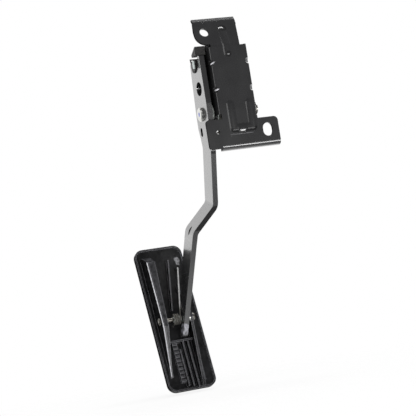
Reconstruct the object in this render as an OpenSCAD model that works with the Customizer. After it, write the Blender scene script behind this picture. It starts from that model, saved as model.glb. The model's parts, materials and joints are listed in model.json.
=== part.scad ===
// Hanging accelerator pedal, cable operated: stamped bracket, flat steel arm and moulded pad.
// Millimetres. X runs to the right across the bracket, Y from the bulkhead towards the driver
// and Z up. Origin: middle of the mounting face in X, on that face in Y, at pivot height in Z.

/* [Sheet bracket] */
// Width of the main face between the two cheeks
box_width = 38.4; // [32:0.2:46]
// Height of the main face above the pivot
face_top = 58.4; // [52:0.2:66]
// Lower edge of the lower plate under the pivot
face_bottom = 35.2; // [33:0.2:40]
// Sheet thickness
sheet = 2; // [1.5:0.1:2.6]
// Depth of the cheeks behind the mounting face
cheek_depth = 33; // [31:0.5:38]
// Backward lean of the top tab in degrees
tab_lean = 22; // [14:1:28]
// Height of the top tab measured along its own face
tab_height = 25.8; // [24:0.2:32]
// Height of the pressed ribs above the face
rib_height = 1.3; // [0.8:0.1:1.8]

/* [Fixing holes] */
// Radius of the round hole in the top tab
top_hole_r = 4.2; // [3.5:0.1:5]
// Radius of the slotted hole in the lower tab
low_hole_r = 4.6; // [3.5:0.1:5]
// Straight length of the slotted hole
low_slot = 2.8; // [1:0.2:5]

/* [Pivot] */
// Distance of the pivot behind the mounting face
pivot_y = 18; // [16:0.5:20]
// Radius of the pivot shaft
shaft_r = 5; // [4:0.25:6]
// Running clearance of the shaft in its bushes
run_gap = 0.05; // [0.03:0.01:0.1]
// Wall of the two flanged bushes
bush_wall = 1.6; // [1.2:0.1:2.2]
// Radius of the riveted shaft head
head_r = 6.4; // [6:0.1:8]
// Wire diameter of the return spring
spring_wire = 2; // [1.5:0.1:2.5]
// Number of coils in the return spring
spring_turns = 6; // [4:1:7]

/* [Arm] */
// Thickness of the arm bar
arm_t = 5; // [4:0.2:6]
// Gap between the arm and the left cheek
arm_gap = 3.8; // [3:0.1:5]
// Depth of the lever around the pivot
lever_depth = 28; // [26:0.5:30]
// Height of the lever above the pivot
lever_top = 52; // [48:0.5:53]
// Width of the lower bar
bar_w = 19.5; // [16:0.5:22]
// Backward lean of the lower bar in degrees
bar_lean = 18; // [14:0.5:22]
// Sideways angle of the crank in degrees
crank_angle = 42.7; // [36:0.1:48]
// Length of the crank between its bends
crank_len = 30.7; // [26:0.1:36]
// Sideways angle of the end below the crank
end_angle = 8.7; // [4:0.1:12]
// Length from the lower bend to the pad pin
end_len = 81.8; // [74:0.2:88]

/* [Pad] */
// Width of the pad
pad_w = 46.8; // [42:0.2:54]
// Length of the pad
pad_l = 140.8; // [130:0.2:150]
// Lean of the pad, its lower end towards the bulkhead, in degrees
pad_lean = 18.5; // [14:0.5:22]
// Thickness of the pad plate
pad_t = 3.2; // [2.5:0.1:4]
// Height of the carrying walls over the pad plate
wall_h = 15.6; // [14.8:0.1:18]
// Clear width between the two carrying walls
wall_gap = 22; // [20.6:0.2:25]
// Radius of the pad pin
pin_r = 1.9; // [1.5:0.1:2.2]

/* [Output] */

/* [Hidden] */
$fn = 64;
hw = box_width / 2;
cheek_x = -hw;
arm_x1 = cheek_x - arm_gap;
arm_x0 = arm_x1 - arm_t;
arm_mid = arm_x0 + arm_t / 2;
bush_or = shaft_r + run_gap + bush_wall;
bend_r = 3;
tab_bend_k = 4 * tan(tab_lean / 2);
lobe_x = -hw - 13.2;
tab_right = hw + 18.4;
lever_y0 = pivot_y - lever_depth / 2 - 1;
lever_y1 = lever_y0 + lever_depth;
bar_z = -48;
bar_y = lever_y0 + 11.3;
cl = cos(bar_lean);
sl = sin(bar_lean);
first_len = 38;
crank_r = 9;
lever_end = first_len - crank_r * tan(crank_angle / 2);
dir_x = -sin(end_angle);
dir_l = cos(end_angle);
low_bend_x = arm_mid - crank_len * sin(crank_angle);
low_bend_l = first_len + crank_len * cos(crank_angle);
pin_x = low_bend_x + end_len * dir_x;
pin_l = low_bend_l + end_len * dir_l;
eye_r = 8;
pin_w = eye_r;
pin_y = bar_y + pin_l * sl + pin_w * cl;
pin_z = bar_z - pin_l * cl + pin_w * sl;
wall_t = 2.5;
beam_w = 6.3;
wall_x0 = pin_x + 5.2 - wall_gap;
wall_x1 = pin_x + 5.2;
pad_x = pin_x - 4.65;
pad_up = 5.3;
pad_drop = 11;
crest = wall_h - pad_drop;
coil_r = 4.6;
coil_wire = 1.5;
coil_x = pin_x - 6.1;
rib_path_r = 7;
rib_k = (rib_path_r - rib_height) * tan(tab_lean / 2);
top_turn = 14;
spring_r = shaft_r + 3.6 + spring_wire / 2;
spool_r = shaft_r + 3.2;
hook_y = 7;
hook_z = -15.4;
spring_pitch = spring_wire + 0.35;
spring_x0 = -hw + sheet + 1.4 + spring_wire / 2 + spring_pitch;
spring_x1 = spring_x0 + spring_turns * spring_pitch;
anchor_x = -21.6;
anchor_z = -19.9;
anchor_y = sheet + spring_wire / 2 + 0.2;
hook_len = spring_x0 - spring_pitch - arm_x1 + arm_t / 2;
shaft_end = hw + 6.5;

black = [0.06, 0.06, 0.065];
dark_plastic = [0.12, 0.12, 0.13];
zinc = [0.78, 0.78, 0.76];
spring_steel = [0.42, 0.41, 0.39];
nylon = [0.86, 0.88, 0.85];

// Lays a drawing made in Y and Z on the plane x = 0 and gives it a thickness along +X
module plate_yz(x, t) {
    translate([x, 0, 0]) rotate([90, 0, 90]) linear_extrude(t) children();
}

// Lays a drawing made in X and Z on the plane y = y0 and gives it a thickness along +Y
module plate_xz(y, t) {
    translate([0, y + t, 0]) rotate([90, 0, 0]) linear_extrude(t) children();
}

module rod_x(x, y, z, len, r) {
    translate([x, y, z]) rotate([0, 90, 0]) cylinder(h = len, r = r);
}

module tube_x(x, y, z, len, r, bore) {
    difference() {
        rod_x(x, y, z, len, r);
        rod_x(x - 1, y, z, len + 2, bore);
    }
}

// Points of an arc around (cx, cy), from angle a0 to a1 in n steps
function arc_points(cx, cy, r, a0, a1, n) =
    [for (i = [0 : n]) [cx + r * cos(a0 + (a1 - a0) * i / n), cy + r * sin(a0 + (a1 - a0) * i / n)]];

// Corner piece left when a square corner is rounded; the corner points to -x, -y
module corner_bit(r) {
    difference() {
        translate([-0.1, -0.1]) square(r + 0.1);
        translate([r, r]) circle(r);
    }
}

// Pressed rib standing out of the mounting face, from (x0, z0) to (x1, z1)
module face_rib(x0, z0, x1, z1) {
    dx = x1 - x0;
    dz = z1 - z0;
    len = sqrt(dx * dx + dz * dz);
    intersection() {
        translate([-100, -20, -200]) cube([200, 20.5, 400]);
        union() {
            translate([x0, rib_path_r - rib_height, z0]) rotate([0, atan2(dx, dz), 0])
                cylinder(h = len, r = rib_path_r);
            translate([x0, rib_path_r - rib_height, z0]) sphere(rib_path_r);
            translate([x1, rib_path_r - rib_height, z1]) sphere(rib_path_r);
        }
    }
}

module main_outline() {
    difference() {
        union() {
            translate([-hw + bend_r, -12]) square([box_width - 2 * bend_r, face_top + 12 - tab_bend_k]);
            translate([lobe_x, -face_bottom]) square([-20 - lobe_x + 0.5, face_bottom - 10.8]);
            translate([-20, -face_bottom + 2.6]) square([tab_right + 20, face_bottom - 2.6 - 10.8]);
            translate([lobe_x, -12]) square([-hw - lobe_x + 2, 12 - 8.2]);
            translate([-hw + 1, -12]) square([box_width - 2, 12 - 8.2]);
        }
        translate([lobe_x, -8.2]) rotate([0, 0, -90]) corner_bit(3);
        translate([lobe_x, -face_bottom]) corner_bit(3);
        translate([tab_right, -10.8]) rotate([0, 0, 180]) corner_bit(4);
        translate([-hw - 3, -8.4]) square([5.6, 4.6]);
        translate([hw - 2.6, -8.4]) square([5.6, 4.6]);
        translate([anchor_x - 0.4, anchor_z]) circle(1.65);
        translate([26.4, -22.1 - low_slot / 2]) circle(low_hole_r);
        translate([26.4, -22.1 + low_slot / 2]) circle(low_hole_r);
        translate([26.4 - low_hole_r, -22.1 - low_slot / 2]) square([2 * low_hole_r, low_slot]);
    }
}

// Cheek drawn in Y and Z, from the bend backwards, with a round lobe under the pivot
module cheek_outline() {
    difference() {
        union() {
            translate([bend_r, -4]) square([cheek_depth - bend_r - 5, face_top + 4]);
            translate([bend_r, 8]) square([cheek_depth - bend_r, face_top - 22]);
            translate([pivot_y, 0]) circle(bush_or + 5);
            translate([cheek_depth - 5, 8]) circle(5);
            translate([cheek_depth - 5, face_top - 14]) circle(5);
        }
        translate([pivot_y, 0]) circle(bush_or);
        translate([cheek_depth - 5, face_top]) rotate([0, 0, 180]) corner_bit(8);
    }
}

module cheek_bend(side) {
    // quarter round between the face and the cheek, drawn in X and Y
    g = 0.02;
    c = hw - bend_r;
    translate([0, 0, -4 + g]) linear_extrude(face_top + 4 - tab_bend_k - 2 * g)
        polygon(concat([[side * (c - 1), g]],
            [for (q = arc_points(c, bend_r, bend_r - g, -90, 0, 10)) [side * q[0], q[1]]],
            [[side * (hw - g), bend_r + 2], [side * (hw - sheet + g), bend_r + 2]],
            [for (q = arc_points(c, bend_r, bend_r - sheet + g, 0, -90, 10)) [side * q[0], q[1]]],
            [[side * (c - 1), sheet - g]]));
}

module tab_outline() {
    difference() {
        union() {
            polygon([[-8, tab_bend_k + 0.1], [12.2, tab_bend_k + 0.1], [15.2, tab_height],
                [-26.6, tab_height], [-28.2, 16.5], [-28.2, 12], [-8, 12]]);
            intersection() {
                translate([-18.2, 12]) circle(10);
                translate([-30, tab_bend_k + 0.1]) square([24, 20]);
            }
            translate([-18, 1.99]) square([12, 10.2]);
        }
        translate([-18.1, 15]) circle(top_hole_r);
    }
}

module top_tab() {
    g = 0.02;
    translate([0, 0, face_top]) rotate([-tab_lean, 0, 0]) {
        plate_xz(0, sheet) tab_outline();
        // upper edge turned further back
        plate_yz(-26.5, 41.6) polygon(concat([[g, tab_height - 4]],
            arc_points(6, tab_height, 6 - g, 180, 180 - top_turn, 6),
            [[6 - (6 - g) * cos(top_turn) + 3 * sin(top_turn),
            tab_height + (6 - g) * sin(top_turn) + 3 * cos(top_turn)],
            [6 - (4 + g) * cos(top_turn) + 3 * sin(top_turn),
            tab_height + (4 + g) * sin(top_turn) + 3 * cos(top_turn)]],
            arc_points(6, tab_height, 4 + g, 180 - top_turn, 180, 6), [[sheet - g, tab_height - 4]]));
    }
    // bend between the face and the tab
    plate_yz(-hw + bend_r + 0.1, 28.2) polygon(concat([[g, face_top - tab_bend_k - 2]],
        arc_points(4, face_top - tab_bend_k, 4 - g, 180, 180 - tab_lean, 6),
        [[g * cos(tab_lean) + (tab_bend_k + 2) * sin(tab_lean), face_top + (tab_bend_k + 2) * cos(tab_lean)],
        [(sheet - g) * cos(tab_lean) + (tab_bend_k + 2) * sin(tab_lean),
        face_top + (tab_bend_k + 2) * cos(tab_lean) - (sheet - g) * sin(tab_lean)]],
        arc_points(4, face_top - tab_bend_k, 2 + g, 180 - tab_lean, 180, 6),
        [[sheet - g, face_top - tab_bend_k - 2]]));
}

module bottom_flange() {
    // lower edge turned back, from the middle of the left lobe to the right end
    g = 0.02;
    r = 2.2 + sheet;
    z0 = -face_bottom + 2.6;
    a = 76;
    plate_yz(-20, tab_right + 19.9) polygon(concat([[g, z0 + 3]], arc_points(r, z0, r - g, 180, 180 + a, 8),
        [[r - (r - g) * cos(a) + 1.6 * sin(a), z0 - (r - g) * sin(a) - 1.6 * cos(a)],
        [r - (2.2 + g) * cos(a) + 1.6 * sin(a), z0 - (2.2 + g) * sin(a) - 1.6 * cos(a)]],
        arc_points(r, z0, 2.2 + g, 180 + a, 180, 8), [[sheet - g, z0 + 3]]));
}

module mounting_bracket() {
    color(black) {
        difference() {
            union() {
                plate_xz(0, sheet) main_outline();
                plate_yz(-hw, sheet) cheek_outline();
                plate_yz(hw - sheet, sheet) cheek_outline();
                cheek_bend(-1);
                cheek_bend(1);
                top_tab();
                bottom_flange();
                face_rib(-6.2, 4, -6.2, -18);
                face_rib(12.6, 4, 12.6, -18);
                face_rib(-6.2, -18, 12.6, -18);
                face_rib(-0.6, face_top - rib_k, -0.6, face_top - 7);
                translate([0, 0, face_top]) rotate([-tab_lean, 0, 0]) face_rib(-0.6, 15.5, -0.6, rib_k);
            }
            // hollow sides of the pressed ribs
            bend_dent(-1, 43.4);
            bend_dent(-1, 18.6);
            bend_dent(1, 42.4);
            bend_dent(1, 17.4);
        }
        bend_web(-1, 43.4);
        bend_web(-1, 18.6);
        bend_web(1, 42.4);
        bend_web(1, 17.4);
    }
}

// Dent pressed into the outside of a bend
module bend_dent(side, z) {
    translate([side * hw, 0, z]) rotate([0, 0, side * 45])
        rotate([0, 90, 0]) cylinder(h = 7, r1 = 3, r2 = 3, center = true);
}

// Thin web behind a dent, so the bend stays closed there
module bend_web(side, z) {
    intersection() {
        translate([side * (hw - 3.4), 3.4, z]) rotate([0, 0, side * 45])
            translate([0, -1.4, 0]) cube([9, 1.4, 6], center = true);
        translate([side < 0 ? -hw : 0, 0, z - 3]) cube([hw, 10, 6]);
    }
}

module fixing_rivets() {
    // two spring anchors riveted to the back of the main face
    color(zinc) for (x = [-8, 8]) {
        translate([x, sheet, 50]) rotate([-90, 0, 0]) cylinder(h = 5, r = 2.4);
        translate([x, sheet + 5, 50]) rotate([-90, 0, 0]) cylinder(h = 1.6, r = 4);
    }
}

module pivot_bush_left() {
    color(nylon) {
        tube_x(-hw, pivot_y, 0, sheet, bush_or, shaft_r + run_gap);
        tube_x(-hw - 1.4, pivot_y, 0, 1.4, bush_or + 2.4, shaft_r + run_gap);
    }
}

module pivot_bush_right() {
    color(nylon) {
        tube_x(hw - sheet, pivot_y, 0, sheet, bush_or, shaft_r + run_gap);
        tube_x(hw, pivot_y, 0, 1.4, bush_or + 2.4, shaft_r + run_gap);
    }
}

module return_spring() {
    color(spring_steel) {
        // closed coils around the spool
        for (i = [0 : spring_turns - 1])
            translate([spring_x0 + i * spring_pitch, pivot_y, 0]) rotate([0, 90, 0])
                rotate_extrude() translate([spring_r, 0]) circle(spring_wire / 2);
        // leg that runs behind the lower plate and hooks into its small hole
        translate([spring_x1, pivot_y - spring_r, 3]) leg_down(3 - anchor_z);
        rod_x(anchor_x - 0.8, anchor_y, anchor_z, spring_x1 - anchor_x + 1.5, spring_wire / 2 - 0.03);
        translate([anchor_x, 0.3, anchor_z]) rotate([-90, 0, 0])
            cylinder(h = anchor_y + 0.5, r = spring_wire / 2 - 0.06);
        // leg that reaches under the left cheek into the slot of the arm
        translate([spring_x0 - spring_pitch, pivot_y + hook_y, hook_z]) {
            translate([0, -hook_y + spring_r, -hook_z]) leg_to_hook();
            rotate([0, -90, 0]) cylinder(h = hook_len, r = spring_wire / 2 - 0.08);
        }
    }
}

module leg_down(len) {
    a = atan2(pivot_y - spring_r - anchor_y, len);
    rotate([-a, 0, 0]) translate([0, 0, -len / cos(a)])
        cylinder(h = len / cos(a), r = spring_wire / 2);
}

module leg_to_hook() {
    dy = hook_y - spring_r;
    dz = hook_z;
    a = atan2(dy, -dz);
    rotate([a, 0, 0]) translate([0, 0, -sqrt(dy * dy + dz * dz)])
        cylinder(h = sqrt(dy * dy + dz * dz), r = spring_wire / 2);
}

module spring_spool() {
    x0 = -hw + sheet + 0.3;
    color(nylon) {
        tube_x(x0, pivot_y, 0, box_width - 2 * sheet - 0.6, spool_r, shaft_r + 0.6);
        tube_x(x0, pivot_y, 0, 1, spring_r + spring_wire, spool_r - 0.5);
        tube_x(spring_x1 + spring_wire / 2 + 0.15, pivot_y, 0, 1, spring_r + spring_wire, spool_r - 0.5);
    }
}

// Lever around the pivot, drawn in Y and Z
module lever_outline() {
    difference() {
        polygon([[lever_y0, 8], [lever_y0, lever_top - 1], [lever_y0 + 1, lever_top],
            [lever_y0 + 2.6, lever_top], [lever_y0 + 2.6, lever_top + 3.4],
            [lever_y0 + 5, lever_top + 3.4], [lever_y0 + 5, lever_top - 2.8],
            [lever_y1 - 6, lever_top - 2.8], [lever_y1 - 3.4, lever_top - 5],
            [lever_y1 - 2.4, lever_top - 12], [lever_y1 + 1.2, 0],
            [lever_y1 + 1.2, -12], [lever_y1 - 1, -21], [lever_y1 - 2.2, -29],
            [bar_y + bar_w / cl - (-bar_z - 36) * sl / cl, -36],
            [bar_y + lever_end * sl + bar_w * cl, bar_z - lever_end * cl + bar_w * sl],
            [bar_y + lever_end * sl, bar_z - lever_end * cl],
            [bar_y - (-bar_z - 35) * sl / cl, -35], [bar_y - 5.8, -28],
            [bar_y - 7.7, -20], [lever_y0 + 1.3, -8]]);
        translate([pivot_y, 0]) circle(shaft_r);
        translate([pivot_y - 3.2, 22.9]) circle(6.4);
        // slot that holds the leg of the return spring
        translate([pivot_y + hook_y, hook_z + 1.7]) circle(2.4);
        translate([pivot_y + hook_y, hook_z - 1.7]) circle(2.4);
        translate([pivot_y + hook_y - 2.4, hook_z - 1.7]) square([4.8, 3.4]);
        // open notch for the cable end
        polygon([[pivot_y - 9, lever_top + 1], [pivot_y + 6, lever_top + 1],
            [pivot_y + 5.2, 44], [pivot_y + 3.6, 39.5], [pivot_y + 0.8, 38],
            [pivot_y - 3, 39], [pivot_y - 6.8, 42.4]]);
    }
}

// Frame of the lower bar: local x = X, local y = width, local -z = down the bar
module bar_frame() {
    translate([arm_mid, bar_y, bar_z]) rotate([bar_lean, 0, 0]) children();
}

// Side view of the bar from the start to the crank, thickness arm_t, drawn in X and down
module crank_outline() {
    r = crank_r;
    t = arm_t / 2 - 0.05;
    a = crank_angle;
    b = crank_angle - end_angle;
    k1 = r * tan(a / 2);
    k2 = r * tan(b / 2);
    c1 = [-r, -(first_len - k1)];
    c2x = -sin(a) * (crank_len - k2) + r * cos(a);
    c2y = -first_len - cos(a) * (crank_len - k2) - r * sin(a);
    d = [-sin(end_angle) * 6, -cos(end_angle) * 6];
    e1 = [c2x - (r - t) * cos(end_angle), c2y + (r - t) * sin(end_angle)];
    e0 = [c2x - (r + t) * cos(end_angle), c2y + (r + t) * sin(end_angle)];
    polygon(concat([[t, c1[1] + 4]], arc_points(c1[0], c1[1], r + t, 0, -a, 10),
        arc_points(c2x, c2y, r - t, 180 - a, 180 - end_angle, 10), [e1 + d, e0 + d],
        arc_points(c2x, c2y, r + t, 180 - end_angle, 180 - a, 10),
        arc_points(c1[0], c1[1], r - t, -a, 0, 10), [[-t, c1[1] + 4]]));
}

module end_outline(k) {
    // lower end drawn in width and down, tapering past the pad pin into a rounded tail
    polygon([[0.1, -k], [bar_w - 0.1, -k], [bar_w - 1, -end_len * 0.5], [14, -end_len + 20],
        [11.8, -end_len + 9], [12, -end_len], [8.6, -end_len - 13], [0, -end_len - 13], [0, -end_len]]);
    translate([4.3, -end_len - 13]) circle(4.3);
}

module pedal_arm() {
    k2 = crank_r * tan((crank_angle - end_angle) / 2);
    color(black) difference() {
        union() {
            plate_yz(arm_x0, arm_t) lever_outline();
            bar_frame() translate([0, bar_w - 0.05, 0]) rotate([90, 0, 0])
                linear_extrude(bar_w - 0.1) crank_outline();
            bar_frame() translate([low_bend_x - arm_mid, 0, -low_bend_l]) rotate([0, end_angle, 0])
                translate([-arm_t / 2 + 0.1, 0, 0]) rotate([90, 0, 90])
                    linear_extrude(arm_t - 0.2) end_outline(k2 + 3);
        }
        rod_x(pin_x - arm_t * 2, pin_y, pin_z, arm_t * 4, pin_r + 0.05);
        // darts pressed into the two bends of the crank
        bar_frame() translate([low_bend_x - arm_mid - arm_t / 2 - 1.2, bar_w / 2, -low_bend_l])
            rotate([0, (crank_angle + end_angle) / 2, 0]) rotate([0, 0, 0])
                cylinder(h = 14, r = 2.2, center = true);
        bar_frame() translate([arm_t / 2 + 1.4, bar_w / 2, -first_len])
            rotate([0, crank_angle / 2, 0]) cylinder(h = 14, r = 2.2, center = true);
    }
}

module pivot_shaft() {
    color(zinc) difference() {
        union() {
            rod_x(arm_x0, pivot_y, 0, shaft_end - arm_x0, shaft_r);
            rod_x(arm_x0 - 1.6, pivot_y, 0, 1.6, head_r);
            translate([arm_x0 - 2.6, pivot_y, 0]) rotate([0, 90, 0])
                cylinder(h = 1, r1 = head_r - 0.9, r2 = head_r);
            translate([arm_x1, pivot_y, 0]) rotate([0, 90, 0]) cylinder(h = 1.2, r = shaft_r + 2.4);
        }
        // groove of the retaining clip
        tube_x(shaft_end - 3, pivot_y, 0, 1.2, shaft_r + 1, shaft_r - 0.8);
    }
}

module thrust_washer() {
    color(zinc) tube_x(arm_x1 + 1.2, pivot_y, 0, 1.1, shaft_r + 3.6, shaft_r + 0.08);
}

module shaft_washer() {
    color(zinc) tube_x(hw + 1.5, pivot_y, 0, 1.6, shaft_r + 3.6, shaft_r + 0.08);
}

module shaft_clip() {
    color(spring_steel) difference() {
        tube_x(shaft_end - 2.95, pivot_y, 0, 1.1, shaft_r + 2.6, shaft_r - 0.75);
        translate([shaft_end - 4, pivot_y - 2.4, -12]) cube([3, 4.8, 9]);
        for (a = [70, 290])
            translate([shaft_end - 4, pivot_y, 0]) rotate([a, 0, 0]) translate([0, -1.4, shaft_r - 1.5])
                cube([3, 2.8, 2.2]);
    }
}

module stop_cap() {
    // rubber cap pushed over the upper end of the lever, rests on the back of the top tab
    color(dark_plastic) difference() {
        plate_yz(arm_x0 - 2, arm_t + 5) polygon([[lever_y0 + 1.8, lever_top + 0.05], [lever_y0 + 1.8, 56.6],
            [lever_y0 + 0.4, 59.4], [lever_y0 + 2.6, 60.2], [lever_y0 + 13.4, 54.4],
            [lever_y0 + 13, lever_top + 0.05]]);
        plate_yz(arm_x0, arm_t) lever_outline();
    }
}

module cable_holder() {
    // moulded holder that fills the notch, open towards the top for the cable
    color(dark_plastic) difference() {
        plate_yz(arm_x0 - 1.2, arm_t + 2.4) polygon([[pivot_y - 7.6, lever_top - 2.62],
            [pivot_y + 4.6, lever_top - 2.62], [pivot_y + 4.8, 44.4], [pivot_y + 3.4, 39.7],
            [pivot_y + 0.8, 38.3], [pivot_y - 2.8, 39.3], [pivot_y - 6.4, 42.6]]);
        translate([arm_mid, pivot_y - 2, 45]) rotate([0, 90, 0])
            cylinder(h = arm_t + 6, r = 2.25, center = true);
        translate([arm_mid - 1, pivot_y - 3, 44.6]) cube([2, 12, 12]);
    }
}

module cable_ferrule() {
    // steel barrel at the cable end with the stub of its shank and a side post
    color(zinc) {
        rod_x(arm_x0 - 2.4, pivot_y - 2, 45, arm_t + 4.8, 2.2);
        translate([arm_mid, pivot_y - 2, 45]) cylinder(h = 3.6, r = 0.9);
        translate([arm_x0 - 3.3, pivot_y - 6.4, 41.4]) cube([1.4, 1.6, 7]);
        translate([arm_x0 - 3.25, pivot_y - 5.6, 44.2]) cube([1.3, 3.4, 1.6]);
    }
}

module cable_clip() {
    // wire clip across the top of the notch, its outer end bent down
    color(spring_steel) {
        rod_x(arm_x0 - 4.4, pivot_y - 3, lever_top - 2, arm_t + 5, 0.6);
        translate([arm_x0 - 3.8, pivot_y - 3, lever_top - 4.8]) cylinder(h = 2.8, r = 0.57);
    }
}

// Frame of the pad: local y = thickness away from the pin, local z = length, local x = X
module pad_frame() {
    translate([0, pin_y, pin_z]) rotate([-pad_lean, 0, 0]) children();
}

module rounded_pad(w, l, r) {
    translate([-w / 2 + r, -l / 2]) square([w - 2 * r, l]);
    translate([-w / 2, -l / 2 + r]) square([w, l - 2 * r]);
    for (x = [-1, 1])
        for (y = [-1, 1])
            translate([x * (w / 2 - r), y * (l / 2 - r)]) circle(r);
}

// Side view of the left beam, crest a, drawn in thickness direction and length
module beam_side(a) {
    polygon([[pad_drop + 0.1, -51], [pad_drop - 0.8, -51], [-a, -6], [-a, 58],
        [pad_drop - 4, 66], [pad_drop + 0.1, 67]]);
}

// Left beam: a raised outer wall and a lower inner part, running to a point at the lower end
module left_beam() {
    x0 = wall_x0 - beam_w;
    difference() {
        union() {
            plate_yz(x0, 2.2) beam_side(crest);
            intersection() {
                plate_yz(x0 + 1, beam_w + 8) beam_side(crest - 1.6);
                plate_xz(-20, 40) polygon([[x0 + 1, -52], [x0 + 1.2, -52], [wall_x0 - 0.3, -6],
                    [wall_x0, 2], [wall_x0 + 3, 68], [x0 + 1, 68]]);
            }
        }
        rod_x(x0 - 1, 0, 0, beam_w + 3, pin_r + 0.1);
    }
}

// Right wall with a round boss around the pin
module right_wall() {
    difference() {
        plate_yz(wall_x1, wall_t) {
            polygon([[pad_drop + 0.1, -65], [pad_drop - 0.8, -65], [-2.2, -6], [-2.2, 6],
                [pad_drop - 2, 34], [pad_drop + 0.1, 38]]);
            circle(crest + 0.3);
        }
        rod_x(wall_x1 - 1, 0, 0, wall_t + 2, pin_r + 0.1);
    }
}

module pad_rib(x0, z0, x1, z1, h, t) {
    a = atan2(x1 - x0, z1 - z0);
    len = sqrt((x1 - x0) * (x1 - x0) + (z1 - z0) * (z1 - z0));
    translate([x0, pad_drop - h, z0]) rotate([0, a, 0]) translate([-t / 2, 0, 0]) cube([t, h + 0.2, len]);
}

module pedal_pad() {
    color(dark_plastic) pad_frame() {
        difference() {
            translate([pad_x, 0, pad_up]) plate_xz(pad_drop, pad_t) rounded_pad(pad_w, pad_l, 8);
            // grooves of the tread on the driver side
            for (i = [-9 : 9])
                translate([pad_x - pad_w / 2 + 6, pad_drop + pad_t - 0.8, pad_up + i * 6.6 - 1])
                    cube([pad_w - 12, 2, 2]);
        }
        // raised rim
        translate([pad_x, 0, pad_up]) plate_xz(pad_drop - 1.6, 1.7) difference() {
            rounded_pad(pad_w, pad_l, 8);
            rounded_pad(pad_w - 3, pad_l - 3, 6.5);
        }
        left_beam();
        right_wall();
        // rib of the upper half and the seat of the long spring leg
        pad_rib(pin_x - 6.5, 11, pin_x + 2.4, 61, 4.5, 1.2);
        translate([pin_x + 11, pad_drop + 0.1, 53]) rotate([90, 0, 0]) cylinder(h = 0.7, r = 3.4);
        // ribs of the lower half
        pad_rib(pin_x - 9.2, -62, pin_x - 9.2, -27, 5, 1.3);
        pad_rib(pin_x - 4.7, -63, pin_x - 4.7, -19, 5, 1.3);
        pad_rib(pin_x + 0.1, -64.5, pin_x + 0.1, -19, 5, 1.3);
        pad_rib(pin_x + 8.9, -58, pin_x + 8.9, -26, 1.2, 1);
        // closed end of the pocket under the pin
        translate([wall_x0 - 1.2, pad_drop - 5, -19.6]) cube([wall_gap + 1.7, 5.2, 1.6]);
        // stepped panel beside the beam
        translate([pin_x - 14.7, pad_drop - 2.4, -58]) cube([4.6, 2.6, 39]);
        for (i = [0 : 9])
            translate([pin_x - 14.8, pad_drop - 3.1, -57 + i * 3.9]) cube([4.6, 1, 1.3]);
    }
}

module pad_pin() {
    color(spring_steel) {
        rod_x(wall_x0 - beam_w - 1.8, pin_y, pin_z, wall_gap + beam_w + wall_t + 1.8, pin_r);
        rod_x(wall_x1 + wall_t, pin_y, pin_z, 1.3, pin_r * 2.05);
        translate([wall_x1 + wall_t + 1.3, pin_y, pin_z]) rotate([0, 90, 0])
            cylinder(h = 1.3, r1 = pin_r * 2.05, r2 = pin_r * 1.5);
    }
}

module pin_push_nut() {
    color(spring_steel) tube_x(wall_x0 - beam_w - 1, pin_y, pin_z, 0.9, pin_r + 1.5, pin_r);
}

module pad_spacer() {
    color(nylon) tube_x(coil_x - 4.1, pin_y, pin_z, 10.2 - arm_t / 2 - 0.55, pin_r + 0.9, pin_r + 0.1);
}

module pad_spring() {
    color(spring_steel) {
        for (i = [0 : 2])
            translate([coil_x - i * 1.6, pin_y, pin_z]) rotate([0, 90, 0])
                rotate_extrude() translate([coil_r, 0]) circle(coil_wire / 2);
        // long leg down on the pad plate and short leg behind the arm side
        pad_frame() {
            long_leg([coil_x + 1.55, -coil_r, 0], [pin_x + 10.8, pad_drop - coil_wire / 2 - 1, 53]);
            translate([coil_x - 4.8, coil_r, -8]) cylinder(h = 8, r = coil_wire / 2);
        }
    }
}

// Straight wire between two points
module long_leg(p, q) {
    d = q - p;
    len = sqrt(d[0] * d[0] + d[1] * d[1] + d[2] * d[2]);
    translate(p) rotate([0, acos(d[2] / len), atan2(d[1], d[0])]) cylinder(h = len, r = coil_wire / 2);
}

module pad_washer() {
    color(zinc) tube_x(wall_x1 - 1, pin_y, pin_z, 0.9, pin_r + 2.6, pin_r + 0.1);
}

mounting_bracket();
fixing_rivets();
pivot_bush_left();
pivot_bush_right();
return_spring();
spring_spool();
pedal_arm();
pivot_shaft();
thrust_washer();
shaft_washer();
shaft_clip();
stop_cap();
cable_holder();
cable_ferrule();
cable_clip();
pedal_pad();
pad_pin();
pin_push_nut();
pad_spacer();
pad_spring();
pad_washer();
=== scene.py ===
import json
import math
from functools import reduce

import bpy
import numpy as np
from mathutils import Matrix, Vector


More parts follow.
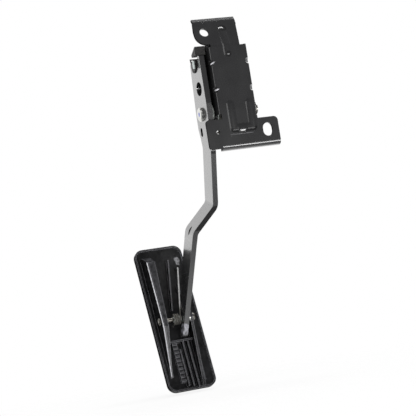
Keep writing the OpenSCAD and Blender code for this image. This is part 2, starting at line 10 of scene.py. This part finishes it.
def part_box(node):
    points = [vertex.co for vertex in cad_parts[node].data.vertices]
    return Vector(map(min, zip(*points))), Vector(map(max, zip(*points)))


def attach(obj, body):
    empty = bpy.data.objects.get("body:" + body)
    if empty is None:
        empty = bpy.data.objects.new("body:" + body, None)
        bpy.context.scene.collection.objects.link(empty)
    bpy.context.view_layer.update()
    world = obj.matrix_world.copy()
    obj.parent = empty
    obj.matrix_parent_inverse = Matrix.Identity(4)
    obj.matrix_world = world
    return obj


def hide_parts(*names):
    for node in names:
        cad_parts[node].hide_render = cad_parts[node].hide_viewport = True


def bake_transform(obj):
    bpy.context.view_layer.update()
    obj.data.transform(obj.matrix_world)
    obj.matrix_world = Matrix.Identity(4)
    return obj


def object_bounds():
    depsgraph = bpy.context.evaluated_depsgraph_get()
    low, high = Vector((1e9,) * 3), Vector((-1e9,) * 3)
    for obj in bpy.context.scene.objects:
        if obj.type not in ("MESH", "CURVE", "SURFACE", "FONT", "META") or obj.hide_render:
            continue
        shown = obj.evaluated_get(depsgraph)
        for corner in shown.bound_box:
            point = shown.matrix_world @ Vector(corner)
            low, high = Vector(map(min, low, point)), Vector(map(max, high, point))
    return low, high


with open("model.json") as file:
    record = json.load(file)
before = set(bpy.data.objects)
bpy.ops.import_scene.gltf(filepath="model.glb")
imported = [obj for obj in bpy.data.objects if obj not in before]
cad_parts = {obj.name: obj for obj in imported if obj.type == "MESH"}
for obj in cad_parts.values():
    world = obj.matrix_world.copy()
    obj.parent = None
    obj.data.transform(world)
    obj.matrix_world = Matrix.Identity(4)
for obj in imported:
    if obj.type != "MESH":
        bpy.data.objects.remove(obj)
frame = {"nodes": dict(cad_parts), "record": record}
size_start = [list(map(float, c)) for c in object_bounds()]
MM = 0.001
LEAN = math.radians(18.5)  # the pad against the vertical


# Places, some of them read from the frame

def at(x, y, z):
    """A point from millimetres."""
    return Vector((x, y, z)) * MM


slo, shi = (Vector(v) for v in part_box("pivot_shaft"))
PIVOT = Vector((0, (slo.y + shi.y) / 2, (slo.z + shi.z) / 2))
plo, phi = (Vector(v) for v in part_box("pad_pin"))
PIN = Vector((0, (plo.y + phi.y) / 2, (plo.z + phi.z) / 2))


def on_pad(x, y, z):
    """A point from x, pad thickness and pad length, in mm from the pin."""
    return PIN + at(x, y * math.cos(LEAN) + z * math.sin(LEAN),
                    z * math.cos(LEAN) - y * math.sin(LEAN))


COIL_X = plo.x / MM + 18.8  # the coil of the pad spring, mm
BEAM_X = plo.x / MM + 1.8   # the left face of the beam on the pad, mm
LEG_SEAT = on_pad(COIL_X + 17.2, 11.0, 53.4)
ARM_TAIL = at(-61.0, 61.5, -190.0)


# Node helpers

def feed(nt, value, socket):
    """Link an output to a socket, or set the socket to a value."""
    if hasattr(value, "is_output"):
        nt.links.new(value, socket)
    else:
        socket.default_value = (*value, 1) if socket.type == "RGBA" else value


def value_node(nt, kind, operation, a, b):
    n = nt.nodes.new(kind)
    n.operation = operation
    feed(nt, a, n.inputs[0])
    feed(nt, b, n.inputs[1])
    return n.outputs["Value"]


def product(nt, a, b):
    return value_node(nt, "ShaderNodeMath", "MULTIPLY", a, b)


def highest(nt, a, b):
    return value_node(nt, "ShaderNodeMath", "MAXIMUM", a, b)


def dot(nt, a, b):
    return value_node(nt, "ShaderNodeVectorMath", "DOT_PRODUCT", a, b)


def distance(nt, a, b):
    return value_node(nt, "ShaderNodeVectorMath", "DISTANCE", a, b)


def component(nt, vector, axis):
    sep = nt.nodes.new("ShaderNodeSeparateXYZ")
    nt.links.new(vector, sep.inputs[0])
    return sep.outputs[axis]


def mapped(nt, fac, lo, hi, a=0.0, b=1.0, curve="LINEAR"):
    """lo to hi as fac goes from a to b."""
    r = nt.nodes.new("ShaderNodeMapRange")
    r.interpolation_type = curve
    r.inputs["From Min"].default_value = a
    r.inputs["From Max"].default_value = b
    r.inputs["To Min"].default_value = lo
    r.inputs["To Max"].default_value = hi
    nt.links.new(fac, r.inputs["Value"])
    return r.outputs["Result"]


def noise(nt, coord, scale, detail, rough=0.5, stretch=None):
    if stretch:
        mp = nt.nodes.new("ShaderNodeMapping")
        mp.inputs["Scale"].default_value = stretch
        nt.links.new(coord, mp.inputs["Vector"])
        coord = mp.outputs["Vector"]
    n = nt.nodes.new("ShaderNodeTexNoise")
    n.inputs["Scale"].default_value = scale
    n.inputs["Detail"].default_value = detail
    n.inputs["Roughness"].default_value = rough
    nt.links.new(coord, n.inputs["Vector"])
    return n.outputs["Fac"]


def ramp(nt, fac, stops):
    """A colour from two stops, each a place and a colour."""
    r = nt.nodes.new("ShaderNodeValToRGB")
    for element, (place, color) in zip(r.color_ramp.elements, stops):
        element.position = place
        element.color = (*color, 1)
    nt.links.new(fac, r.inputs["Fac"])
    return r.outputs["Color"]


def mix_color(nt, fac, a, b):
    m = nt.nodes.new("ShaderNodeMix")
    m.data_type = "RGBA"
    nt.links.new(fac, m.inputs["Factor"])
    feed(nt, a, m.inputs[6])
    feed(nt, b, m.inputs[7])
    return m.outputs[2]


def mix_shader(nt, fac, a, b):
    m = nt.nodes.new("ShaderNodeMixShader")
    for value, socket in zip((fac, a, b), m.inputs):
        nt.links.new(value, socket)
    return m.outputs["Shader"]


def bump(nt, bsdf, coord, layers):
    """Relief from layers of noise, each with a strength and a depth in mm."""
    normal = None
    for grain, strength, depth in layers:
        b = nt.nodes.new("ShaderNodeBump")
        b.inputs["Strength"].default_value = strength
        b.inputs["Distance"].default_value = depth * MM
        nt.links.new(noise(nt, coord, *grain), b.inputs["Height"])
        if normal:
            nt.links.new(normal, b.inputs["Normal"])
        normal = b.outputs["Normal"]
    nt.links.new(normal, bsdf.inputs["Normal"])
    return normal


def edge_mask(nt, radius, gain=6.0):
    """1 near an edge, 0 on flat ground, from the turn of a normal rounded by radius (mm)."""
    bevel = nt.nodes.new("ShaderNodeBevel")
    bevel.samples = 6
    bevel.inputs["Radius"].default_value = radius * MM
    g = nt.nodes.new("ShaderNodeNewGeometry")
    turn = dot(nt, bevel.outputs["Normal"], g.outputs["Normal"])
    return mapped(nt, turn, 0.0, 1.0, 1.0, 1.0 - 1.0 / gain)


def facing(nt, axis, low, high, a, b):
    """low to high as the part of the face normal along an axis goes from a to b."""
    g = nt.nodes.new("ShaderNodeNewGeometry")
    return mapped(nt, component(nt, g.outputs["True Normal"], axis), low, high, a, b)


def side_dull(nt):
    """0 where a face looks to -X, 1 elsewhere."""
    return facing(nt, "X", 0.0, 1.0, -0.8, -0.35)


def beyond(nt, coord, centre, radius):
    """0 within radius (mm) of a point, 1 from a millimetre further out."""
    return mapped(nt, distance(nt, coord, centre), 0.0, 1.0, radius * MM, (radius + 1) * MM)


def dull_band(nt, coord, y_max, z_lo, z_hi, low):
    """low on the front faces between z_lo and z_hi and in front of y_max (mm), 1 elsewhere."""
    y, z = component(nt, coord, "Y"), component(nt, coord, "Z")
    out = mapped(nt, z, low, 1.0, z_hi * MM, (z_hi + 1) * MM)
    out = highest(nt, out, mapped(nt, z, low, 1.0, z_lo * MM, (z_lo - 1) * MM))
    out = highest(nt, out, mapped(nt, y, low, 1.0, y_max * MM, (y_max + 0.4) * MM))
    return highest(nt, out, facing(nt, "Y", low, 1.0, -0.85, -0.6))


# Materials

def new_material(name):
    m = bpy.data.materials.new(name)
    m.use_nodes = True
    nt = m.node_tree
    coord = nt.nodes.new("ShaderNodeTexCoord")
    return m, nt, nt.nodes["Principled BSDF"], coord.outputs["Object"]


def shade(nt, bsdf, coord, socket, scale, detail, low, high):
    """Drive a socket of the shader by noise between two values."""
    nt.links.new(mapped(nt, noise(nt, coord, scale, detail), low, high), bsdf.inputs[socket])


def speckled(name, tint, stops, rough, layers=(), metallic=0.0):
    """A material with a noisy colour: tint is the noise and stops its colours; rough is a noise
    and the two roughnesses that it runs between; layers are its relief."""
    m, nt, b, co = new_material(name)
    nt.links.new(ramp(nt, noise(nt, co, *tint), stops), b.inputs["Base Color"])
    b.inputs["Metallic"].default_value = metallic
    shade(nt, b, co, "Roughness", *rough)
    if layers:
        bump(nt, b, co, layers)
    return m


def gloss_paint(name="gloss_black_paint", dull_sides=False, bands=(), spots=(), tail_glint=None):
    """Glossy black paint. Its shine can fade on the faces that look to -X, in bands and in spots;
    the last argument is a point and the radius (mm) within which the paint is coloured light
    grey, a painted highlight."""
    m, nt, b, co = new_material(name)
    base = ramp(nt, noise(nt, co, 60, 4),
                [(0.3, (0.012, 0.012, 0.0125)), (0.75, (0.022, 0.022, 0.0225))])
    # light grey paint colour near that point is a painted highlight
    if tail_glint:
        tail_glint_colour = ramp(nt, noise(nt, co, 320, 4),
                      [(0.35, (0.03, 0.03, 0.034)), (0.62, (0.34, 0.34, 0.38))])
        base = mix_color(nt, beyond(nt, co, *tail_glint), tail_glint_colour, base)
    nt.links.new(base, b.inputs["Base Color"])
    b.inputs["IOR"].default_value = 1.55
    b.inputs["Coat Weight"].default_value = 1.0
    b.inputs["Coat IOR"].default_value = 1.8
    shade(nt, b, co, "Roughness", 25, 5, 0.2, 0.34)
    shade(nt, b, co, "Coat Roughness", 90, 3, 0.06, 0.16)
    parts = [side_dull(nt)] if dull_sides else []
    parts += [dull_band(nt, co, *band) for band in bands]
    parts += [mapped(nt, beyond(nt, co, point, radius), low, 1.0) for point, radius, low in spots]
    if parts:
        clear = reduce(lambda a, part: product(nt, a, part), parts)
        nt.links.new(clear, b.inputs["Coat Weight"])
        nt.links.new(mapped(nt, clear, 0.0, 0.5), b.inputs["Specular IOR Level"])
    normal = bump(nt, b, co, [((700, 2), 0.003, 0.3), ((160, 2), 0.008, 0.6)])
    nt.links.new(normal, b.inputs["Coat Normal"])
    return m


def cable_end():
    """Side post coloured bright blue-white as a painted highlight; the rest dark."""
    m, nt, b, co = new_material("cable_end")
    post = mapped(nt, component(nt, co, "Y"), 0.0, 1.0, 13.6 * MM, 13.1 * MM)
    bright = ramp(nt, noise(nt, co, 500, 4),
                  [(0.3, (0.62, 0.7, 0.68)), (0.75, (0.85, 0.92, 0.9))])
    # the blue-white colour of the post is a painted highlight
    nt.links.new(mix_color(nt, post, (0.02, 0.02, 0.02), bright), b.inputs["Base Color"])
    shade(nt, b, co, "Roughness", 500, 4, 0.25, 0.45)
    bump(nt, b, co, [((900, 3), 0.08, 0.2)])
    return m


def leg_wire():
    """Dull coils; the long leg is coloured lighter, a painted highlight."""
    m, nt, b, co = new_material("leg_wire")
    leg = mapped(nt, component(nt, co, "Z"), 0.0, 1.0, -172 * MM, -166 * MM)
    grain = noise(nt, co, 300, 4)
    dull = ramp(nt, grain, [(0.3, (0.07, 0.066, 0.06)), (0.75, (0.14, 0.134, 0.12))])
    # lighter copy of the wire for the long leg, a painted highlight
    bright = ramp(nt, grain, [(0.3, (0.34, 0.34, 0.34)), (0.75, (0.55, 0.55, 0.55))])
    nt.links.new(mix_color(nt, leg, dull, bright), b.inputs["Base Color"])
    nt.links.new(mapped(nt, leg, 0.55, 0.3), b.inputs["Metallic"])
    shade(nt, b, co, "Roughness", 700, 4, 0.44, 0.54)
    return m


# light-toned plastic used for painted highlights
def highlight_plastic(name, low, high):
    return speckled(name, (420, 5, 0.7),
                    [(0.35, (low, low, low * 1.04)), (0.65, (high, high, high * 1.05))],
                    (200, 4, 0.28, 0.5), [((1400, 3), 0.1, 0.3)])


def nylon():
    m = speckled("nylon", (150, 4), [(0.3, (0.6, 0.64, 0.61)), (0.8, (0.74, 0.78, 0.75))],
                 (300, 3, 0.3, 0.5), [((1200, 2), 0.05, 0.2)])
    b = m.node_tree.nodes["Principled BSDF"]
    b.inputs["Subsurface Weight"].default_value = 0.15
    b.inputs["Subsurface Radius"].default_value = (MM, MM, MM)
    return m


def pad_plastic():
    m, nt, b, co = new_material("moulded_plastic")
    plate = ramp(nt, noise(nt, co, 170, 6, 0.7),
                 [(0.36, (0.003, 0.003, 0.0032)), (0.64, (0.018, 0.018, 0.019))])
    raised_colour = ramp(nt, noise(nt, co, 260, 6, 0.75),
                   [(0.36, (0.012, 0.012, 0.013)), (0.66, (0.065, 0.065, 0.07))])
    # what stands out of the plate is lighter than the plate itself; where it faces -X it keeps
    # the plate's dark colour, a painted shade
    through = Vector((0, math.cos(LEAN), -math.sin(LEAN)))
    plate_top, raised_top = (PIN.dot(through) + depth * MM for depth in (10.2, 7.6))
    raised = mapped(nt, dot(nt, co, through), 0.0, 1.0, plate_top, raised_top)
    body = mix_color(nt, product(nt, raised, side_dull(nt)), plate, raised_colour)
    # shine shows except on the left sides and on the slopes that look up
    shine = product(nt, side_dull(nt), facing(nt, "Z", 1.0, 0.0, 0.45, 0.62))
    # edges are coloured light grey as a painted highlight, except on left sides, upward slopes
    # and near the leg seat
    edge_highlight = product(nt, product(nt, edge_mask(nt, 0.8), shine), beyond(nt, co, LEG_SEAT, 4.4))
    nt.links.new(mix_color(nt, edge_highlight, body, (0.28, 0.28, 0.3)), b.inputs["Base Color"])
    nt.links.new(mapped(nt, shine, 0.0, 0.5), b.inputs["Specular IOR Level"])
    shade(nt, b, co, "Roughness", 120, 5, 0.2, 0.44)
    bump(nt, b, co, [((1400, 3), 0.14, 0.3), ((120, 3), 0.05, 0.6)])
    return m


ZINC = speckled("zinc_plate", (240, 5), [(0.25, (0.44, 0.44, 0.42)), (0.8, (0.6, 0.6, 0.58))],
                (500, 4, 0.22, 0.42), [((900, 3), 0.08, 0.2)], metallic=1.0)
WIRE = speckled("spring_wire", (300, 4), [(0.3, (0.3, 0.3, 0.3)), (0.75, (0.52, 0.52, 0.51))],
                (700, 4, 0.25, 0.5), [((1500, 3, 0.5, (0.15, 1, 1)), 0.1, 0.2)], metallic=1.0)
OILED = speckled("oiled_steel", (350, 4),
                 [(0.3, (0.09, 0.085, 0.075)), (0.75, (0.22, 0.21, 0.19))],
                 (700, 4, 0.28, 0.5), [((1400, 3), 0.1, 0.2)], metallic=1.0)
RUBBER = speckled("grained_rubber", (500, 5),
                  [(0.3, (0.008, 0.008, 0.008)), (0.8, (0.028, 0.026, 0.024))],
                  (400, 4, 0.45, 0.75), [((900, 5, 0.7), 0.5, 0.8)])
BLUE = speckled("blue_mark_paint", (900, 3),
                [(0.3, (0.16, 0.2, 0.75)), (0.8, (0.24, 0.29, 0.88))], (500, 3, 0.3, 0.5))
# light colour for the gusset lips, a painted highlight
GUSSET_HIGHLIGHT = highlight_plastic("gusset_highlight_paint", 0.5, 0.85)
PAINT = gloss_paint()
BRACKET = gloss_paint("bracket_paint", True, [(-0.5, -21.8, -18.6, 0.12)],
                      [(at(0.7, 6.0, 75.3), 3.2, 0.3), (at(-0.3, -1.1, 49.9), 2.2, 0.3)])
# the arm's tail carries a painted highlight: light grey paint colour within 5 mm of ARM_TAIL
ARM = gloss_paint("arm_paint", False, [(12, -37, -33, 0.25), (60, -103, -84, 0.2)],
                  tail_glint=(ARM_TAIL, 5.0))

SLOTS = {"painted_steel": PAINT, "zinc_plate": ZINC, "spring_wire": WIRE, "nylon": nylon(),
         "rubber": RUBBER, "moulded_plastic": pad_plastic()}
for part in frame["record"]["subparts"]:
    obj = frame["nodes"][part["node"]]
    obj.data.materials.clear()
    obj.data.materials.append(SLOTS[part["material_slot"]])
OTHER = {"mounting_bracket": BRACKET, "pedal_arm": ARM, "pad_pin": OILED, "pin_push_nut": OILED,
         "cable_clip": RUBBER, "cable_holder": RUBBER, "cable_ferrule": cable_end(),
         "shaft_washer": OILED, "shaft_clip": OILED}
for name, material in OTHER.items():
    frame["nodes"][name].data.materials[0] = material


# Soft edges on the main solids

def soften(name, width):
    """Round the edges of a solid by width (mm) and keep its flat faces flat."""
    o = frame["nodes"][name]
    w = o.modifiers.new("weld", "WELD")
    w.merge_threshold = 0.02 * MM
    b = o.modifiers.new("edge", "BEVEL")
    b.width = width * MM
    b.segments = 2
    b.limit_method = "ANGLE"
    b.angle_limit = math.radians(32)
    b.use_clamp_overlap = True
    n = o.modifiers.new("flat_faces", "EDGE_SPLIT")
    n.split_angle = math.radians(12)


for name, width in (("mounting_bracket", 0.35), ("pedal_arm", 0.45), ("pedal_pad", 0.3),
                    ("stop_cap", 0.5), ("cable_holder", 0.3)):
    soften(name, width)


# Mesh helpers

def add_mesh(name, verts, faces, material, body, smooth=True):
    me = bpy.data.meshes.new(name)
    me.from_pydata([tuple(v) for v in verts], [], faces)
    me.validate()
    me.update()
    o = bpy.data.objects.new(name, me)
    bpy.context.scene.collection.objects.link(o)
    me.materials.append(material)
    if smooth:
        me.polygons.foreach_set("use_smooth", [True] * len(me.polygons))
    if isinstance(body, str):
        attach(o, body)
    else:
        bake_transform(o)
    return o


def circle(n):
    """n angles around a full turn."""
    return [2 * math.pi * i / n for i in range(n)]


def fan(n):
    """Triangles from point 0 to a ring of n points."""
    return [(0, 1 + (i + 1) % n, 1 + i) for i in range(n)]


def skin(rings, n, first=0):
    """Quads between neighbouring rings of n points, the first point being number first."""
    places = [(first + i * n, k, (k + 1) % n) for i in range(rings - 1) for k in range(n)]
    return [(s + a, s + b, s + b + n, s + a + n) for s, a, b in places]


def tube(name, path, radius, material, body, sides=12):
    verts, normal = [], None
    for i, p in enumerate(path):
        t = (path[min(i + 1, len(path) - 1)] - path[max(i - 1, 0)]).normalized()
        if normal is None:
            normal = t.orthogonal().normalized()
        normal = (normal - t * normal.dot(t)).normalized()
        side = t.cross(normal)
        verts += [p + radius * (math.cos(a) * normal + math.sin(a) * side)
                  for a in circle(sides)]
    faces = skin(len(path), sides)
    faces.append(tuple(reversed(range(sides))))
    faces.append(tuple(range((len(path) - 1) * sides, len(path) * sides)))
    return add_mesh(name, verts, faces, material, body)


def smooth_path(points, step=0.4):
    """Points step mm apart along a path, its corners rounded; every second one is kept."""
    out = []
    for start, end in zip(points, points[1:]):
        n = max(1, int((end - start).length / (step * MM)))
        out += [start.lerp(end, k / n) for k in range(n)]
    out.append(points[-1])
    for _ in range(10):
        inner = [(out[i - 1] + 2 * out[i] + out[i + 1]) / 4 for i in range(1, len(out) - 1)]
        out = [out[0]] + inner + [out[-1]]
    return out[::2] + [out[-1]]


def helix(x0, x1, centre, radius, turns, per_turn=40):
    """Points of a coil around an axis along X."""
    total = int(turns * per_turn)
    points = []
    for i in range(total + 1):
        a = 2 * math.pi * turns * i / total
        points.append(Vector((x0 + (x1 - x0) * i / total, centre.y + radius * math.cos(a),
                              centre.z + radius * math.sin(a))))
    return points


# Return spring: a coil round the shaft, its anchor leg at the bracket and its hook at the arm

spring_low = Vector(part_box("return_spring")[0])
COIL_START, COIL_END = -14.8, 1.65
HOOK_Y, HOOK_Z = PIVOT.y + 7 * MM, -15.4 * MM
ANCHOR_X, ANCHOR_Y, ANCHOR_Z = -21.6, 3.2, -19.9
hook = [Vector((spring_low.x, HOOK_Y, HOOK_Z)), Vector((COIL_START * MM, HOOK_Y, HOOK_Z))]
coil = helix(COIL_START * MM, COIL_END * MM, PIVOT, 9.6 * MM, 6.5)
anchor = [at(COIL_END, ANCHOR_Y, -19.7), at(ANCHOR_X, ANCHOR_Y, ANCHOR_Z),
          Vector((ANCHOR_X * MM, spring_low.y + 0.1 * MM, ANCHOR_Z * MM))]
spring = tube("return_spring_wire", smooth_path(hook + coil + anchor), 1.0 * MM, OILED,
              ("bracket", "arm", (0, PIVOT.y - 9 * MM, 0), (0, PIVOT.y + 5 * MM, 0)))
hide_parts("return_spring")


# Pad spring: its coil sits on the pin and its long leg rests on the plate

PAD_COIL_LEFT, PAD_COIL_WIDTH, PAD_COIL_R = COIL_X - 4.4, 5.9, 4.6
PAD_COIL_FROM, PAD_COIL_TURN = 270, -1170  # degrees
PAD_COIL_STEPS = 130
pad_coil = []
for i in range(PAD_COIL_STEPS + 1):
    a = math.radians(PAD_COIL_FROM + PAD_COIL_TURN * i / PAD_COIL_STEPS)
    pad_coil.append(on_pad(PAD_COIL_LEFT + PAD_COIL_WIDTH * i / PAD_COIL_STEPS,
                           PAD_COIL_R * math.cos(a), PAD_COIL_R * math.sin(a)))
short_leg, long_leg = on_pad(PAD_COIL_LEFT, 7.5, -4.6), on_pad(COIL_X + 16.8, 9.3, 52.8)
pad_path = smooth_path([short_leg] + pad_coil + [long_leg], 0.3)
pad_spring = tube("pad_spring_wire", pad_path, 0.75 * MM, leg_wire(),
                  ("arm", "pad", on_pad(0, 0, 9), on_pad(0, 0, 50)))
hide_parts("pad_spring")


# Small raised shapes on the bracket

def dome(name, centre, radii, material, body, n=32, rings=7):
    """Low half ellipsoid, radii in mm, whose crown points to -Y."""
    rx, ry, rz = radii
    verts = [centre + at(0, -ry, 0)]
    for i in range(1, rings + 1):
        a = 0.5 * math.pi * i / rings
        verts += [centre + at(rx * math.sin(a) * math.cos(q), -ry * math.cos(a),
                              rz * math.sin(a) * math.sin(q)) for q in circle(n)]
    faces = [(0, c, b) for _, b, c in fan(n)]
    faces += [(a, d, c, b) for a, b, c, d in skin(rings, n, 1)]
    o = add_mesh(name, verts, faces, material, body)


dome("rib_crown", at(1.7, -0.7, -18.7), (5.2, 1.4, 4.0), PAINT, "bracket")

BEND_X, BEND_R = -16.2, 3.0  # where the round of the left bend begins, and its radius, mm


def gusset_lip(name, x0, z0, x1, z1, steps=8):
    """Raised lip along the lower side of a gusset, coloured light as a painted highlight; it
    follows the round of the bend.
    """
    start, run = Vector((x0, 0, z0)), Vector((x1 - x0, 0, z1 - z0))
    up = Vector((run.z, 0, -run.x)).normalized()
    verts = []
    for i in range(steps + 1):
        q = start + run * (i / steps)
        side = max(0.0, BEND_X - q.x)
        y = BEND_R - math.sqrt(max(0.0, BEND_R ** 2 - side ** 2))
        thin = 1.0 - 0.55 * abs(2 * i / steps - 1) ** 3
        for u, d in ((0.75, 0.25), (0.0, -0.6 * thin), (-0.75, 0.3)):
            verts.append((q + up * u * thin + Vector((0, y + d, 0))) * MM)
    last = steps * 3
    faces = skin(steps + 1, 3) + [(2, 1, 0), (last, last + 1, last + 2)]
    o = add_mesh(name, verts, faces, GUSSET_HIGHLIGHT, "bracket", False)


gusset_lip("gusset_lip_upper", -14.7, 43.9, -18.6, 41.9)
gusset_lip("gusset_lip_lower", -14.4, 19.1, -18.6, 17.9)

# grey line along the foot of the U rib, a painted highlight
lip = tube("rib_lip", [at(-10.8 + 2.27 * i, 0.1, -23.3) for i in range(11)], 0.5 * MM,
           highlight_plastic("rib_edge_highlight", 0.09, 0.13), "bracket")

# lug that closes the relief notch beside the tab, behind the cap
corners = [at(x, y, z) for z in (55.0, 60.6)
           for x, y in ((-19.8, 3.4), (-13.5, 3.4), (-13.5, 5.0), (-19.8, 5.0))]
lug = add_mesh("notch_lug", corners, [(3, 2, 1, 0), (4, 5, 6, 7)] + skin(2, 4),
               BRACKET, "bracket", False)


# Rounded bead on the crest of the beam and a light patch above the leg of the spring, both
# coloured as painted highlights

bead = [on_pad(BEAM_X + 0.4, y, z)
        for y, z in ((9.3, -50.6), (-4.95, -6.0), (-4.95, 25.0), (-4.95, 57.4))]
crest = tube("beam_crest", smooth_path(bead, 1.0), 0.5 * MM,
             highlight_plastic("crest_highlight", 0.4, 0.8), "pad")

# the light patch above the leg seat is a painted highlight
BLOTCH_X, BLOTCH_Z = COIL_X + 18.6, 60.3
blotch = [on_pad(BLOTCH_X, 10.75, BLOTCH_Z)]
for a in circle(26):
    k = 1 + 0.16 * math.sin(3 * a) + 0.08 * math.sin(5 * a + 1)
    blotch.append(on_pad(BLOTCH_X + 2.5 * k * math.cos(a), 11.02,
                        BLOTCH_Z + 4.8 * k * math.sin(a)))
mark = add_mesh("pad_highlight_patch", blotch, fan(26),
                highlight_plastic("patch_highlight_plastic", 0.04, 0.34), "pad")


# Dab of blue paint on the shaft head

ring = [(slo.x - 0.06 * MM, PIVOT.y + MM * 1.5 * math.cos(a) * (1 + 0.12 * math.sin(3 * a)),
         PIVOT.z + MM * 2.0 * math.sin(a)) for a in circle(28)]
dab = add_mesh("blue_mark", [(slo.x - 0.18 * MM, PIVOT.y, PIVOT.z)] + ring, fan(28),
               BLUE, "arm")


# Stage, light and camera

IMAGE_PX = 416
SENSOR_MM = 36
MIDDLE = (-0.03, 0.04, -0.08)  # of the part; the lights look at it
FLOOR_DROP = 2 * MM            # from the lowest point to the floor
FLOOR_HALF = 2.0               # half a side of the floor, m
FADE = (0.06, 0.34)            # the floor fades out between these distances, m
FLOOR_GLOW = 0.84              # how much of the floor is plain white to the camera
WHITE = (1, 1, 1)


def stage_floor():
    """Pale floor under the pad; it fades out before a horizon would show."""
    me = bpy.data.meshes.new("studio_floor")
    z, s = size_start[0][2] - FLOOR_DROP, FLOOR_HALF
    me.from_pydata([(-s, -s, z), (s, -s, z), (s, s, z), (-s, s, z)], [], [(0, 1, 2, 3)])
    o = bpy.data.objects.new("studio_floor", me)
    bpy.context.scene.collection.objects.link(o)
    m, nt, b, co = new_material("studio_floor")
    b.inputs["Base Color"].default_value = (0.95, 0.95, 0.95, 1)
    b.inputs["Roughness"].default_value = 0.9
    b.inputs["Specular IOR Level"].default_value = 0.1
    glow = nt.nodes.new("ShaderNodeEmission")
    glow.inputs["Color"].default_value = (*WHITE, 1)
    lp = nt.nodes.new("ShaderNodeLightPath")
    lit = mix_shader(nt, product(nt, lp.outputs["Is Camera Ray"], FLOOR_GLOW),
                     b.outputs["BSDF"], glow.outputs["Emission"])
    # far out, and seen from below, the floor is clear
    far = mapped(nt, distance(nt, co, (-0.06, 0.07, z)), 0.0, 1.0, *FADE, "SMOOTHSTEP")
    g = nt.nodes.new("ShaderNodeNewGeometry")
    clear = nt.nodes.new("ShaderNodeBsdfTransparent")
    out = mix_shader(nt, highest(nt, far, g.outputs["Backfacing"]), lit, clear.outputs["BSDF"])
    nt.links.new(out, nt.nodes["Material Output"].inputs["Surface"])
    me.materials.append(m)


def white_world():
    """White behind and beside the part; reflections are darker on the camera side."""
    w = bpy.data.worlds.new("studio")
    bpy.context.scene.world = w
    w.use_nodes = True
    nt = w.node_tree
    bg = nt.nodes["Background"]
    bg.inputs["Strength"].default_value = 1.0
    co = nt.nodes.new("ShaderNodeTexCoord")
    back = mapped(nt, component(nt, co.outputs["Generated"], "Y"), 0.0, 1.0, 0.25, 0.75,
                  "SMOOTHSTEP")
    mirror = mix_color(nt, back, (0.13, 0.13, 0.135), (1.5, 1.5, 1.5))
    lp = nt.nodes.new("ShaderNodeLightPath")
    soft = mix_color(nt, lp.outputs["Is Glossy Ray"], (0.42, 0.42, 0.42), mirror)
    seen = highest(nt, lp.outputs["Is Camera Ray"], lp.outputs["Is Transmission Ray"])
    nt.links.new(mix_color(nt, seen, soft, WHITE), bg.inputs["Color"])


def area(name, loc, width, height, power):
    """A rectangular light with its width level, in m and W."""
    d = bpy.data.lights.new(name, "AREA")
    d.energy = power
    d.shape = "RECTANGLE"
    d.size = width
    d.size_y = height
    o = bpy.data.objects.new(name, d)
    bpy.context.scene.collection.objects.link(o)
    z = (Vector(loc) - Vector(MIDDLE)).normalized()
    x = (Vector((1, 0, 0)) - z * z.x).normalized()
    o.matrix_world = Matrix.Translation(loc) @ Matrix((x, z.cross(x), z)).transposed().to_4x4()


def photo_camera(az, el, roll, focal_px, mm_per_px, origin_px, shift):
    """The photo's camera, angles in degrees; it shows the point -shift (mm) at origin_px."""
    a, e, r = (math.radians(v) for v in (az, el, roll))
    back = np.array([math.sin(a) * math.cos(e), -math.cos(a) * math.cos(e), math.sin(e)])
    level = np.cross(-back, [0, 0, 1.0])
    level /= np.linalg.norm(level)
    upright = np.cross(level, -back)
    right = math.cos(r) * level - math.sin(r) * upright
    up = math.sin(r) * level + math.cos(r) * upright
    dx, dy = ((px - IMAGE_PX / 2) * mm_per_px for px in origin_px)
    pos = (back * focal_px * mm_per_px - right * dx + up * dy - np.array(shift)) * MM
    cam = bpy.data.cameras.new("photo_camera")
    cam.sensor_fit = "HORIZONTAL"
    cam.sensor_width = SENSOR_MM
    cam.lens = focal_px / IMAGE_PX * SENSOR_MM
    cam.clip_start = 0.01
    cam.clip_end = 30
    o = bpy.data.objects.new("photo_camera", cam)
    bpy.context.scene.collection.objects.link(o)
    rows = [(right[i], up[i], back[i], pos[i]) for i in range(3)]
    o.matrix_world = Matrix(rows + [(0, 0, 0, 1)])
    bpy.context.scene.camera = o


stage_floor()
white_world()
area("key_left", (-1.33, -1.5, 0.3), 0.7, 2.6, 8)
area("fill_left", (-1.7, -0.7, 1.6), 1.2, 1.2, 7)
area("top", (0.35, 0.3, 1.6), 1.3, 0.5, 20)
area("low_front", (0.6, -1.66, -0.52), 1.3, 0.42, 16)
photo_camera(-21, -3.0, 9.0, 1400, 0.9, (229.5, 110), (7.9, 0, 1))

scene = bpy.context.scene
scene.view_settings.view_transform = "Standard"
